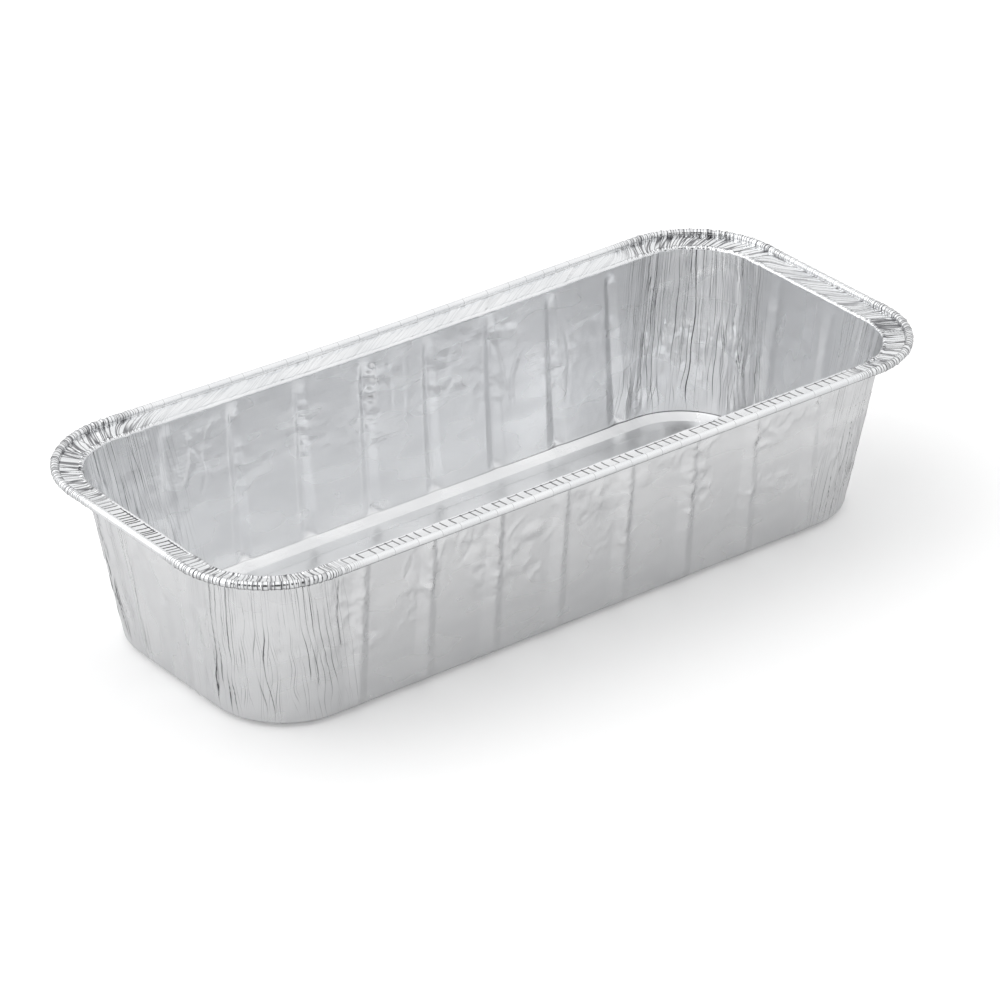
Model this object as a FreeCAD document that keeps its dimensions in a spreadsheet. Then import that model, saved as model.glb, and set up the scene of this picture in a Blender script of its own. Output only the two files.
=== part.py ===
"""A disposable drip pan, pressed from one blank of aluminium foil, as a parametric document.

The pan is one sheet of even gauge. A ruled tray rises from a slightly smaller base, ribs are pressed
outwards into its walls, and the floor stands on a flat ring with a raised panel inside it. At the mouth
the sheet bends outwards into a shelf and ends in a rolled bead.

Frame: millimetres, +X along the pan, +Y across it, +Z up. The origin is at the middle of the base,
on the plane that the pan stands on.
"""
import FreeCAD, Part
import os
import re
from math import atan2, cos, pi, radians, sin, tan

import Sketcher

# ---------------------------------------------------------------------------------------------
# Driving dimensions: alias, value, what it is. Lengths are in millimetres, angles in degrees.
# ---------------------------------------------------------------------------------------------
SIZES = [
    ("overall_length", 340.0, "over the bead, along X"),
    ("overall_width", 150.0, "over the bead, along Y"),
    ("overall_height", 74.0, "from the table to the top of the bead"),
    ("rim_corner", 40.0, "corner radius over the bead"),
    ("foil", 0.12, "gauge of the sheet"),
    ("end_lean", 9.7, "how far an end wall leans out between its foot and the mouth"),
    ("side_lean", 6.2, "how far a long wall leans out between its foot and the mouth"),
    ("base_corner", 31.0, "corner radius at the foot of the walls"),
    ("foot_rise", 2.2, "height of the foot of the walls over the table"),
    ("strip_width", 4.5, "sloping strip between the walls and the standing ring"),
    ("ring_width", 6.0, "flat ring that the pan stands on"),
    ("panel_rise", 0.9, "height of the floor panel over the ring"),
    ("panel_run", 1.3, "width of the slope up to the panel"),
    ("rim_rise", 4.0, "height of the bead's top over the mouth, where the walls turn into the rim"),
    ("rim_width", 11.8, "from the mouth to the outside of the bead"),
    ("lip_bend", 1.0, "inside radius of the bend from wall to shelf"),
    ("lip_turn", 110.0, "angle of that bend, which leaves a low ridge"),
    ("lip_return", 1.2, "radius of the bend from the ridge back up to the shelf"),
    ("shelf_slope", 7.0, "rise of the shelf towards the bead"),
    ("fold_radius", 0.25, "radius of the fold between shelf and bead"),
    ("bead_radius", 1.5, "outside radius of the rolled bead"),
    ("bead_turn", 320.0, "how far round the bead is rolled"),
    ("rib_crest", 2.0, "rounding of a rib's crest"),
    ("rib_flank", 25.0, "slope of a rib's flanks from the wall"),
    ("rib_root", 1.0, "how far a rib's section reaches behind the wall's face"),
    ("rib_foot", 1.2, "height over which a rib rises out of the foot"),
    ("rib_fade", 7.0, "height over which a rib dies away under the rim"),
    ("rib_sink", 0.3, "how far a rib's crest ends up behind the wall's face"),
    ("rib_pitch", 31.0, "spacing of the ribs along a wall"),
    ("rib_margin", 6.0, "least distance from a rib to the corner's start, at the foot"),
    ("side_rib_depth", 1.7, "depth of the ribs in the long walls"),
    ("end_rib_depth", 1.1, "depth of the ribs in the end walls"),
]

doc = FreeCAD.newDocument("drip_pan")
sheet = doc.addObject("Spreadsheet::Sheet", "sizes")
for row, (alias, value, meaning) in enumerate(SIZES, start=1):
    sheet.set(f"A{row}", alias)
    sheet.set(f"B{row}", str(value))
    sheet.set(f"C{row}", meaning)
    sheet.setAlias(f"B{row}", alias)
doc.recompute()

ALIAS = re.compile(r"\b(" + "|".join(alias for alias, _, _ in SIZES) + r")\b")

# Derived sizes, written as formulas in the sheet's aliases.
MOUTH_LENGTH = "(overall_length - 2 * rim_width)"
MOUTH_WIDTH = "(overall_width - 2 * rim_width)"
MOUTH_CORNER = "(rim_corner - rim_width)"
MOUTH_HEIGHT = "(overall_height - rim_rise)"
BASE_LENGTH = f"({MOUTH_LENGTH} - 2 * end_lean)"
BASE_WIDTH = f"({MOUTH_WIDTH} - 2 * side_lean)"
STRIP_ANGLE = "atan(foot_rise / strip_width)"
PANEL_ANGLE = "atan(panel_rise / panel_run)"
# Where the foil's upper face turns a corner, it sits this far from the lower face's corner.
FOOT_LIFT = f"foil * tan(45 deg - {STRIP_ANGLE} / 2)"
RING_INSET = f"foil * tan({STRIP_ANGLE} / 2)"
PANEL_OUTSET = f"foil * tan({PANEL_ANGLE} / 2)"


def size(alias):
    """The number in the cell of that alias, for a sketch's first guess."""
    return float(sheet.get(alias))


def bind(thing, prop, formula):
    """Binds a property to a formula written in the sheet's aliases."""
    thing.setExpression(prop, ALIAS.sub(r"sizes.\1", formula))


def constrain(sketch, formula, *constraint):
    """Adds a dimension to a sketch and binds it to a formula. The last argument is its first guess."""
    index = sketch.addConstraint(Sketcher.Constraint(*constraint))
    bind(sketch, f"Constraints[{index}]", formula)


def point(x, y):
    """A point in a sketch's own plane."""
    return FreeCAD.Vector(x, y, 0)


def plane(body, role):
    """One of a body's own origin planes or axes, found by its role."""
    return next(item for item in body.Origin.OriginFeatures if item.Role == role)


def level_sketch(body, name, height):
    """A sketch in a level plane of the body, at a height given by a formula."""
    sketch = body.newObject("Sketcher::SketchObject", name)
    sketch.AttachmentSupport = [(plane(body, "XY_Plane"), "")]
    sketch.MapMode = "FlatFace"
    bind(sketch, "AttachmentOffset.Base.z", height)
    return sketch


def outline(body, name, length, width, corner, height):
    """A rounded rectangle centred on the pan. It starts where the +X side meets the +X+Y corner."""
    sketch = level_sketch(body, name, height)
    half_x, half_y, radius = size("overall_length") / 2, size("overall_width") / 2, size("rim_corner")
    corners = [(1, 1), (-1, 1), (-1, -1), (1, -1)]
    centres = [point(sx * (half_x - radius), sy * (half_y - radius)) for sx, sy in corners]
    for quarter, centre in enumerate(centres):
        circle = Part.Circle(centre, FreeCAD.Vector(0, 0, 1), radius)
        arc = Part.ArcOfCircle(circle, quarter * pi / 2, (quarter + 1) * pi / 2)
        reach = point(radius * cos((quarter + 1) * pi / 2), radius * sin((quarter + 1) * pi / 2))
        side = Part.LineSegment(centre + reach, centres[(quarter + 1) % 4] + reach)
        sketch.addGeometry([arc, side], False)
    for quarter in range(4):
        arc, side, following = 2 * quarter, 2 * quarter + 1, (2 * quarter + 2) % 8
        sketch.addConstraint(Sketcher.Constraint("Tangent", arc, 2, side, 1))
        sketch.addConstraint(Sketcher.Constraint("Tangent", side, 2, following, 1))
        sketch.addConstraint(Sketcher.Constraint(("Horizontal", "Vertical")[quarter % 2], side))
        if quarter:
            sketch.addConstraint(Sketcher.Constraint("Equal", 0, arc))
    sketch.addConstraint(Sketcher.Constraint("Symmetric", 0, 3, 4, 3, -1, 1))
    constrain(sketch, corner, "Radius", 0, radius)
    constrain(sketch, length, "DistanceX", 3, 1, 7, 1, 2 * half_x)
    constrain(sketch, width, "DistanceY", 5, 1, 1, 1, 2 * half_y)
    return sketch


def loft(body, kind, name, sections):
    """A straight-sided loft through level sketches, added to the body or taken from it."""
    feature = body.newObject(f"PartDesign::{kind}Loft", name)
    feature.Profile = sections[0]
    feature.Sections = sections[1:]
    feature.Ruled = True
    feature.Refine = False
    return feature


def rib_section(body, name, turned, across, crest, depth, height):
    """One level section of a rib: a rounded V that points outwards, with its crest at a formula.

    turned is the angle from the +Y wall to the wall that the rib stands in, and across is how far the
    rib stands from the middle of that wall.
    """
    sketch = level_sketch(body, name, height)
    sketch.AttachmentOffset = FreeCAD.Placement(FreeCAD.Vector(), FreeCAD.Rotation(turned, 0, 0))
    bind(sketch, "AttachmentOffset.Base.z", height)
    bind(sketch, "AttachmentOffset.Base." + ("y" if turned else "x"), across)
    radius, slope, reach = size("rib_crest"), radians(size("rib_flank")), size(depth) + size("rib_root")
    middle = size("overall_width") / 2
    shoulder = point(radius * sin(slope), middle + radius * cos(slope))
    drop = shoulder.y - (middle + radius - reach)
    foot = point(shoulder.x + drop / tan(slope), shoulder.y - drop)
    mirror = [point(-foot.x, foot.y), point(-shoulder.x, shoulder.y)]
    crown = Part.ArcOfCircle(Part.Circle(point(0, middle), FreeCAD.Vector(0, 0, 1), radius),
                             pi / 2 - slope, pi / 2 + slope)
    sketch.addGeometry([Part.LineSegment(foot, shoulder), crown,
                        Part.LineSegment(mirror[1], mirror[0]), Part.LineSegment(mirror[0], foot)], False)
    sketch.addConstraint(Sketcher.Constraint("Tangent", 0, 2, 1, 1))
    sketch.addConstraint(Sketcher.Constraint("Tangent", 1, 2, 2, 1))
    sketch.addConstraint(Sketcher.Constraint("Coincident", 2, 2, 3, 1))
    sketch.addConstraint(Sketcher.Constraint("Coincident", 3, 2, 0, 1))
    sketch.addConstraint(Sketcher.Constraint("Symmetric", 3, 1, 3, 2, -2))
    sketch.addConstraint(Sketcher.Constraint("PointOnObject", 1, 3, -2))
    constrain(sketch, "rib_crest", "Radius", 1, radius)
    constrain(sketch, "180 deg - rib_flank * 1 deg", "Angle", 0, pi - slope)
    constrain(sketch, f"{depth} + rib_root - rib_crest", "DistanceY", 0, 1, 1, 3, reach - radius)
    constrain(sketch, f"{crest} - rib_crest", "DistanceY", -1, 1, 1, 3, middle)
    return sketch


def wall_face(foot, mouth, height):
    """How far a straight wall's outer face stands from the pan's middle at a height."""
    return f"({foot} + ({mouth} - {foot}) * ({height} - foot_rise) / ({MOUTH_HEIGHT} - foot_rise)) / 2"


def rib_row(body, kind, wall, turned, across_axis, mirror_plane, foot, mouth, run, inset, lift):
    """A row of ribs in one wall and its mirror image in the wall opposite.

    foot and mouth are the pan's breadth between those walls, and run is the wall's own length at the foot.
    inset and lift move the whole rib inwards and its foot up, which makes the hollow behind it.
    """
    depth = f"{wall}_rib_depth"
    count = f"(floor(({run} - 2 * base_corner - 2 * rib_margin) / rib_pitch) + 1)"
    levels = [
        ("foot", "foot_rise", f"foot_rise + {lift}", "-rib_sink"),
        ("heel", "(foot_rise + rib_foot)", f"foot_rise + rib_foot + {lift}", depth),
        ("neck", f"({MOUTH_HEIGHT} - rib_fade)", f"{MOUTH_HEIGHT} - rib_fade", depth),
        ("top", MOUTH_HEIGHT, MOUTH_HEIGHT, "-rib_sink"),
    ]
    name = f"{wall}_rib" if kind == "Additive" else f"{wall}_rib_hollow"
    first = f"-rib_pitch * ({count} - 1) / 2"
    sections = [
        rib_section(body, f"{name}_{label}", turned, first,
                    f"{wall_face(foot, mouth, level)} + {proud} - {inset}", depth, height)
        for label, level, height, proud in levels
    ]
    rib = loft(body, kind, name, sections)
    row = body.newObject("PartDesign::LinearPattern", f"{name}_row")
    row.Direction = (plane(body, across_axis), [""])
    row.Mode = "Spacing"
    bind(row, "Offset", "rib_pitch")
    bind(row, "Occurrences", count)
    opposite = body.newObject("PartDesign::Mirrored", f"{name}_opposite")
    opposite.MirrorPlane = (plane(body, mirror_plane), [""])
    pattern = body.newObject("PartDesign::MultiTransform", f"{name}s")
    pattern.Originals = [rib]
    pattern.Refine = False
    pattern.Transformations = [row, opposite]
    body.Tip = pattern
    return pattern


# ---------------------------------------------------------------------------------------------
# The tray: the outer form, less the hollow that leaves one gauge of foil everywhere
# ---------------------------------------------------------------------------------------------
tray = doc.addObject("PartDesign::Body", "tray")
doc.recompute()


def tray_form(kind, name, inset, ring_inset, ring_lift, foot_lift):
    """The tray's outer or inner skin, through the ring's edge, the foot of the walls and the mouth."""
    return loft(tray, kind, name, [
        outline(tray, f"{name}_ring", f"{BASE_LENGTH} - 2 * (strip_width + {ring_inset})",
                f"{BASE_WIDTH} - 2 * (strip_width + {ring_inset})",
                f"base_corner - strip_width - {ring_inset}", ring_lift),
        outline(tray, f"{name}_foot", f"{BASE_LENGTH} - 2 * {inset}", f"{BASE_WIDTH} - 2 * {inset}",
                f"base_corner - {inset}", f"foot_rise + {foot_lift}"),
        outline(tray, f"{name}_mouth", f"{MOUTH_LENGTH} - 2 * {inset}", f"{MOUTH_WIDTH} - 2 * {inset}",
                f"{MOUTH_CORNER} - {inset}", MOUTH_HEIGHT),
    ])


def tray_ribs(kind, inset, lift):
    """The ribs of all four walls."""
    rib_row(tray, kind, "side", 0, "X_Axis", "XZ_Plane",
            BASE_WIDTH, MOUTH_WIDTH, BASE_LENGTH, inset, lift)
    rib_row(tray, kind, "end", -90, "Y_Axis", "YZ_Plane",
            BASE_LENGTH, MOUTH_LENGTH, BASE_WIDTH, inset, lift)


tray_form("Additive", "form", "0", "0", "0", "0")
tray_ribs("Additive", "0", "0")
tray_form("Subtractive", "hollow", "foil", RING_INSET, "foil", FOOT_LIFT)
tray_ribs("Subtractive", "foil", FOOT_LIFT)
doc.recompute()


def panel_form(kind, name, outset, lift):
    """The raised floor panel's upper or lower skin, inside the standing ring."""
    edge = f"(strip_width + ring_width - {outset})"
    return loft(tray, kind, name, [
        outline(tray, f"{name}_edge", f"{BASE_LENGTH} - 2 * {edge}", f"{BASE_WIDTH} - 2 * {edge}",
                f"base_corner - {edge}", lift),
        outline(tray, f"{name}_top", f"{BASE_LENGTH} - 2 * ({edge} + panel_run)",
                f"{BASE_WIDTH} - 2 * ({edge} + panel_run)", f"base_corner - {edge} - panel_run",
                f"panel_rise + {lift}"),
    ])


panel_form("Additive", "panel", PANEL_OUTSET, "foil")
panel_form("Subtractive", "panel_hollow", "0", "0")
doc.recompute()

# ---------------------------------------------------------------------------------------------
# The rim: the sheet's section, given its gauge and swept round the mouth
# ---------------------------------------------------------------------------------------------
mouth = next(item for item in tray.Group if item.Name == "form_mouth")

section = doc.addObject("Sketcher::SketchObject", "rim_line")
section.Placement = FreeCAD.Placement(FreeCAD.Vector(), FreeCAD.Rotation(FreeCAD.Vector(1, 0, 0), 90))
bind(section, "Placement.Base.x", f"{MOUTH_LENGTH} / 2")
bind(section, "Placement.Base.y", f"{MOUTH_WIDTH} / 2 - {MOUTH_CORNER}")
bind(section, "Placement.Base.z", MOUTH_HEIGHT)


def bend(start, heading, radius, turn):
    """An arc that leaves start along heading and turns by an angle, left if it is positive."""
    side = 1 if turn > 0 else -1
    centre = start + point(-side * radius * sin(heading), side * radius * cos(heading))
    begin = atan2(start.y - centre.y, start.x - centre.x)
    on_arc = [centre + point(radius * cos(begin + part * turn), radius * sin(begin + part * turn))
              for part in (0, 0.5, 1)]
    return Part.Arc(*on_arc), on_arc[2], heading + turn


# First guesses, which the constraints below then correct.
SHELF_SHARE = 0.6
FOLD_TURN = radians(110)

dip = radians(size("lip_turn") - 90)
rise = radians(size("shelf_slope"))
shelf_run = size("rim_width") * SHELF_SHARE
middle_out = size("rim_width") - size("bead_radius")
middle_up = size("rim_rise") - size("bead_radius")
lip, end, heading = bend(point(0, 0), pi / 2, size("lip_bend"), -pi / 2 - dip)
back, end, heading = bend(end, heading, size("lip_return"), dip + rise)
shelf_end = end + point(shelf_run, shelf_run * sin(rise))
fold, fold_end, heading = bend(shelf_end, heading, size("fold_radius"), FOLD_TURN)
bead, _, _ = bend(fold_end, heading, size("bead_radius") - size("foil"), -radians(size("bead_turn")))
section.addGeometry([lip, back, Part.LineSegment(end, shelf_end), fold, bead], False)

section.addConstraint([
    Sketcher.Constraint("Coincident", 0, 2, -1, 1),
    Sketcher.Constraint("PointOnObject", 0, 3, -1),
    Sketcher.Constraint("Tangent", 0, 1, 1, 1),
    Sketcher.Constraint("Tangent", 1, 2, 2, 1),
    Sketcher.Constraint("Tangent", 2, 2, 3, 1),
    Sketcher.Constraint("Tangent", 3, 2, 4, 2),
])
constrain(section, "lip_bend", "Radius", 0, size("lip_bend"))
constrain(section, "lip_return", "Radius", 1, size("lip_return"))
constrain(section, "fold_radius", "Radius", 3, size("fold_radius"))
constrain(section, "bead_radius - foil", "Radius", 4, size("bead_radius") - size("foil"))
constrain(section, "lip_turn * 1 deg", "Angle", 0, radians(size("lip_turn")))
constrain(section, "shelf_slope * 1 deg", "Angle", 2, rise)
constrain(section, "bead_turn * 1 deg", "Angle", 4, radians(size("bead_turn")))
constrain(section, "rim_width - bead_radius", "DistanceX", -1, 1, 4, 3, middle_out)
constrain(section, "rim_rise - bead_radius", "DistanceY", -1, 1, 4, 3, middle_up)

rim_foil = doc.addObject("Part::Offset2D", "rim_foil")
rim_foil.Source = section
rim_foil.Mode = "Skin"
rim_foil.Fill = True
bind(rim_foil, "Value", "foil")

rim = doc.addObject("Part::Sweep", "rim")
rim.Sections = [rim_foil]
rim.Spine = (mouth, [f"Edge{number}" for number in range(1, 9)])
rim.Solid = True

pan = doc.addObject("Part::MultiFuse", "pan")
pan.Label = "pan"
pan.Shapes = [tray, rim]
pan.Refine = True

# ---------------------------------------------------------------------------------------------
# Build, check and write
# ---------------------------------------------------------------------------------------------
doc.recompute()

for thing in doc.Objects:
    faults = [state for state in thing.State if state in ("Invalid", "Error")]
    if faults:
        raise RuntimeError(f"{thing.Label} did not build: {faults}")

os.makedirs("parts", exist_ok=True)
for node in [pan]:
    if node.Shape.isNull() or not node.Shape.isValid() or len(node.Shape.Solids) != 1:
        raise RuntimeError(f"{node.Label} is not one valid solid")
    node.Shape.exportStep(f"parts/{node.Label}.step")
    reach = node.Shape.optimalBoundingBox()
    print(f"{node.Label}: {node.Shape.Volume:.1f} mm3, "
          f"{reach.XLength:.2f} x {reach.YLength:.2f} x {reach.ZLength:.2f} mm")
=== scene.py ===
# %% [markdown]
# # A drip pan of aluminium foil
# The whole pan is one sheet of foil, pressed in a die. It has no parts to assemble, so the work is all in
# the sheet: the ribs that the die leaves on purpose, the pleats that gather where a flat sheet is forced
# round a corner, and the way that thin bright metal shows each of them.

# %% Load the frame
import math

import bpy
import numpy as np
from mathutils import Matrix, Vector


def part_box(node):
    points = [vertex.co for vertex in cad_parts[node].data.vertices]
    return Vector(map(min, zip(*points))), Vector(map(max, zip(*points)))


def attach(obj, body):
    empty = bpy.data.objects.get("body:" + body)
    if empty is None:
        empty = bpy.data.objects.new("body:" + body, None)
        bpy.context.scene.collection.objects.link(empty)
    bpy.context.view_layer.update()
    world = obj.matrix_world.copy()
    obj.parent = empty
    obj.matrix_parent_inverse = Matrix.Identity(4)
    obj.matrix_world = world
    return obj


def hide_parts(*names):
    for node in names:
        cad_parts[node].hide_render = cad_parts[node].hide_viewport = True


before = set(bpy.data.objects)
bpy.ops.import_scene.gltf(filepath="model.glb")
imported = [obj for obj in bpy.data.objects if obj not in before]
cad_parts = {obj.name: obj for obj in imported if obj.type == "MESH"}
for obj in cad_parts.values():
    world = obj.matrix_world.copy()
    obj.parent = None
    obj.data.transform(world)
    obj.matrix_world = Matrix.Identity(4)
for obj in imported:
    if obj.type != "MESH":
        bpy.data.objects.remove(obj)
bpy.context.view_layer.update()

LOW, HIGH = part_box("pan")
MM = 0.001
print("pan, mm:", [round(size / MM, 1) for size in HIGH - LOW])

# %% [markdown]
# ## The sizes of the sheet
# Every level of the pan is a rounded rectangle: a half length, a half width, a corner radius and a height.
# The overall sizes come from the frame, and the rest are the sheet's own. All of them are in millimetres
# here, because that is how a press tool is drawn, and the finished mesh is scaled once at the end.

# %% Sizes
LENGTH, WIDTH, HEIGHT = ((HIGH - LOW) / MM)[:]
FOIL = 0.12
RIM_WIDTH = 11.8
RIM_RISE = 4.0
RIM_CORNER = 40.0
BEAD_RADIUS = 1.5
END_LEAN, SIDE_LEAN = 9.7, 6.2
BASE_CORNER = 31.0
FOOT_RISE, STRIP_WIDTH, RING_WIDTH = 2.2, 4.5, 6.0
PANEL_RISE, PANEL_RUN = 0.9, 1.3

MOUTH = np.array([LENGTH / 2 - RIM_WIDTH, WIDTH / 2 - RIM_WIDTH, RIM_CORNER - RIM_WIDTH, HEIGHT - RIM_RISE])
FOOT = np.array([MOUTH[0] - END_LEAN, MOUTH[1] - SIDE_LEAN, BASE_CORNER, FOOT_RISE])
print("mouth:", MOUTH, "foot:", FOOT)

# %% [markdown]
# ## Rows: the section of the sheet
# The sheet's section runs from the middle of the floor to the open end of the rolled bead. It is written
# as a short list of levels with a rounding at each fold, plus the rim's bends as arcs. A press never leaves
# a knife-sharp fold, so each fold gets a few extra rows that bend it.

# %% Helpers for the section
FOLD_STEPS = 3


def inset(level, distance, height):
    """The rounded rectangle that lies a distance inside another, at its own height."""
    return np.array([level[0] - distance, level[1] - distance, max(level[2] - distance, 0.0), height])


def gap(before, after):
    """The distance between two levels along the section."""
    return math.hypot(after[1] - before[1], after[3] - before[3])


def rounded(levels, reaches):
    """A chain of levels with each inner one replaced by a short curve that starts and ends a reach away."""
    rows = [levels[0]]
    for before, corner, after, reach in zip(levels, levels[1:], levels[2:], reaches):
        into = corner + (before - corner) * min(0.5, reach / gap(before, corner))
        out = corner + (after - corner) * min(0.5, reach / gap(corner, after))
        for part in np.linspace(0, 1, FOLD_STEPS + 1):
            rows.append((1 - part) ** 2 * into + 2 * part * (1 - part) * corner + part ** 2 * out)
    return rows + [levels[-1]]


def filled(rows, longest):
    """The same chain with rows added wherever two neighbours are further apart than longest."""
    chain = [rows[0]]
    for before, after in zip(rows, rows[1:]):
        count = max(1, math.ceil(gap(before, after) / longest))
        chain += [before + (after - before) * step / count for step in range(1, count + 1)]
    return chain


def arc(start, heading, radius, turn, steps):
    """Points along an arc that leaves start along heading and turns by an angle, left if positive."""
    side = math.copysign(radius, turn)
    centre = start + side * np.array([-math.sin(heading), math.cos(heading)])
    begin = math.atan2(*(start - centre)[::-1])
    angles = begin + turn * np.arange(1, steps + 1) / steps
    return [centre + radius * np.array([math.cos(angle), math.sin(angle)]) for angle in angles]


# %% The rows of the floor and the walls
RING_OUT = inset(FOOT, STRIP_WIDTH, 0.0)
RING_IN = inset(RING_OUT, RING_WIDTH, 0.0)
PANEL_EDGE = inset(RING_IN, PANEL_RUN, PANEL_RISE)
PANEL_MIDDLE = inset(PANEL_EDGE, PANEL_EDGE[1], PANEL_RISE)

FLOOR_BEND, FOOT_BEND, SMOOTH_SHARE = 0.6, 0.7, 0.3
FLOOR_STEP, FOOT_STEP, SMOOTH_STEP, PLEATED_STEP = 6.0, 2.4, 2.2, 0.95
floor_bends = rounded([PANEL_MIDDLE, PANEL_EDGE, RING_IN, RING_OUT], [FLOOR_BEND, FLOOR_BEND])
FLOOR_ROWS = filled(floor_bends, FLOOR_STEP)
foot_bend = rounded([RING_OUT, FOOT, MOUTH], [FOOT_BEND])[:-1]
smooth_end = foot_bend[-1] + (MOUTH - foot_bend[-1]) * SMOOTH_SHARE
WALL_ROWS = filled(foot_bend, FOOT_STEP)
WALL_ROWS += filled([foot_bend[-1], smooth_end], SMOOTH_STEP)[1:]
WALL_ROWS += filled([smooth_end, MOUTH], PLEATED_STEP)[1:]
print("floor rows:", len(FLOOR_ROWS), "wall rows:", len(WALL_ROWS))

# %% The rows of the rim, from the mouth to the open end of the bead
LIP_BEND, LIP_RETURN = 1.0, 1.2
LIP_TURN, SHELF_SLOPE, BEAD_TURN = math.radians(110), math.radians(7), math.radians(300)
LIP_ROWS, DIP_ROWS, SHELF_ROWS, BEAD_ROWS = 6, 2, 11, 14
SHELF_CLEARANCE, ONTO_BEAD = 0.1, np.array([0.15, 0.3])
# where painted shade on the underside of the bead fades in, as angles round the bead
UNDER_BEAD_ANGLES = np.radians([360 + 22, 360 + 42])
UPRIGHT = math.pi / 2

origin = np.zeros(2)
lip = arc(origin, UPRIGHT, LIP_BEND, -LIP_TURN, LIP_ROWS)
dip = arc(lip[-1], UPRIGHT - LIP_TURN, LIP_RETURN, LIP_TURN - UPRIGHT + SHELF_SLOPE, DIP_ROWS)
bead_middle = np.array([RIM_WIDTH - BEAD_RADIUS, RIM_RISE - BEAD_RADIUS])
shelf_run = bead_middle[0] - BEAD_RADIUS - SHELF_CLEARANCE - dip[-1][0]
shelf_end = dip[-1] + shelf_run * np.array([1.0, math.tan(SHELF_SLOPE)])
shelf = [dip[-1] + (shelf_end - dip[-1]) * step / SHELF_ROWS for step in range(1, SHELF_ROWS + 1)]
bead_start = math.atan2(*(shelf_end + ONTO_BEAD - bead_middle)[::-1])
bead = [bead_middle + (BEAD_RADIUS - FOIL) * np.array([math.cos(angle), math.sin(angle)])
        for angle in np.linspace(bead_start, bead_start - BEAD_TURN, BEAD_ROWS)]
section = [origin] + lip + dip + shelf + bead
RIM_ROWS = [MOUTH + np.array([out, out, out, up]) for out, up in section]
SHELF_START, BEAD_START = 1 + len(lip), 1 + len(lip) + len(dip) + len(shelf)
print("rim rows:", len(RIM_ROWS), "shelf from", SHELF_START, "bead from", BEAD_START)

# %% [markdown]
# ## Columns: the way round the pan
# A column keeps its place on every level of the pan. It needs only two arrows: an anchor, which says
# where its corner's centre lies as a share of the straight sides, and a facing, which points outwards.
# On a level with half length a, half width b and corner radius r, the column stands at
# anchor * (a - r, b - r) + facing * r. Columns stand closer at the corners, where the pleats are fine.

# %% Columns
STRAIGHT_STEP, CORNER_COLUMNS, CROWDING = 0.8, 150, 0.25
CORNERS = [(1, 1), (-1, 1), (-1, -1), (1, -1)]


def make_columns():
    """The anchor, facing and distance round the mouth of every column, and the whole distance."""
    straight = MOUTH[:2] - MOUTH[2]
    anchors, facings, travel, so_far = [], [], [], 0.0
    for quarter, begin in enumerate(CORNERS):
        end = CORNERS[(quarter + 1) % 4]
        angle = math.pi / 2 * (quarter + 1)
        run = np.abs(np.subtract(end, begin)) @ straight
        even = np.linspace(0, 1, round(run / STRAIGHT_STEP), endpoint=False)
        for share in even - CROWDING * np.sin(2 * math.pi * even) / (2 * math.pi):
            anchors.append(np.array(begin) * (1 - share) + np.array(end) * share)
            facings.append((math.cos(angle), math.sin(angle)))
            travel.append(so_far + run * share)
        so_far += run
        for share in np.linspace(0, 1, CORNER_COLUMNS, endpoint=False):
            turned = angle + share * math.pi / 2
            anchors.append(np.array(end, float))
            facings.append((math.cos(turned), math.sin(turned)))
            travel.append(so_far + MOUTH[2] * share * math.pi / 2)
        so_far += MOUTH[2] * math.pi / 2
    return np.array(anchors), np.array(facings), np.array(travel), so_far


ANCHORS, FACINGS, TRAVEL, ROUND = make_columns()
print("columns:", len(TRAVEL), "distance round the mouth:", round(ROUND, 1))

# %% [markdown]
# ## The flat blank
# Rows and columns make a plain grid. Each point carries its anchor, facing and level, and how far along and
# across the sheet it lies. The grid's UV map is the place where each point lay in the flat blank before the
# press closed, so the rolling lines of the foil can run straight in the blank and bend with the walls.

# %% Make a grid
UV_SIZE = 500.0


def store(mesh, name, kind, values):
    """Writes one value for each point of a mesh."""
    attribute = mesh.attributes.new(name, kind, "POINT")
    field = "value" if kind == "FLOAT" else "vector"
    attribute.data.foreach_set(field, np.asarray(values, np.float32).ravel())


def make_grid(name, rows, across, zones, columns):
    """A band of quads over the given columns. zones holds the wall, shelf and bead shares of each row."""
    tall, wide = len(rows), len(columns)
    levels = np.repeat(np.array(rows), wide, axis=0)
    anchors, facings = np.tile(ANCHORS[columns], (tall, 1)), np.tile(FACINGS[columns], (tall, 1))
    flat = np.zeros((tall * wide, 1))
    index = np.arange(tall * wide).reshape(tall, wide)
    beside = np.roll(index, -1, axis=1)
    quads = np.stack([index[:-1], beside[:-1], beside[1:], index[1:]], axis=2)
    if wide < len(TRAVEL):
        quads = quads[:, :-1]
    quads = quads.reshape(-1, 4)

    mesh = bpy.data.meshes.new(name)
    mesh.from_pydata(np.zeros((tall * wide, 3)), [], quads.tolist())
    store(mesh, "anchor", "FLOAT_VECTOR", np.hstack([anchors, flat]))
    store(mesh, "facing", "FLOAT_VECTOR", np.hstack([facings, flat]))
    store(mesh, "level", "FLOAT_VECTOR", levels[:, :3])
    store(mesh, "rise", "FLOAT", levels[:, 3])
    store(mesh, "along", "FLOAT", np.tile(TRAVEL[columns], tall))
    store(mesh, "across", "FLOAT", np.repeat(across, wide))
    store(mesh, "zone", "FLOAT_VECTOR", np.repeat(zones, wide, axis=0))

    blank = anchors * (MOUTH[:2] - MOUTH[2]) + facings * (MOUTH[2] + np.repeat(across, wide)[:, None])
    uv = (blank / UV_SIZE + 0.5)[quads.ravel()]
    mesh.uv_layers.new(name="Blank").data.foreach_set("uv", uv.astype(np.float32).ravel())
    piece = bpy.data.objects.new(name, mesh)
    bpy.context.scene.collection.objects.link(piece)
    return piece


def run_of(rows):
    """How far each row lies along the section from the first one."""
    return np.concatenate([[0.0], np.cumsum([gap(before, after) for before, after in zip(rows, rows[1:])])])


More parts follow.
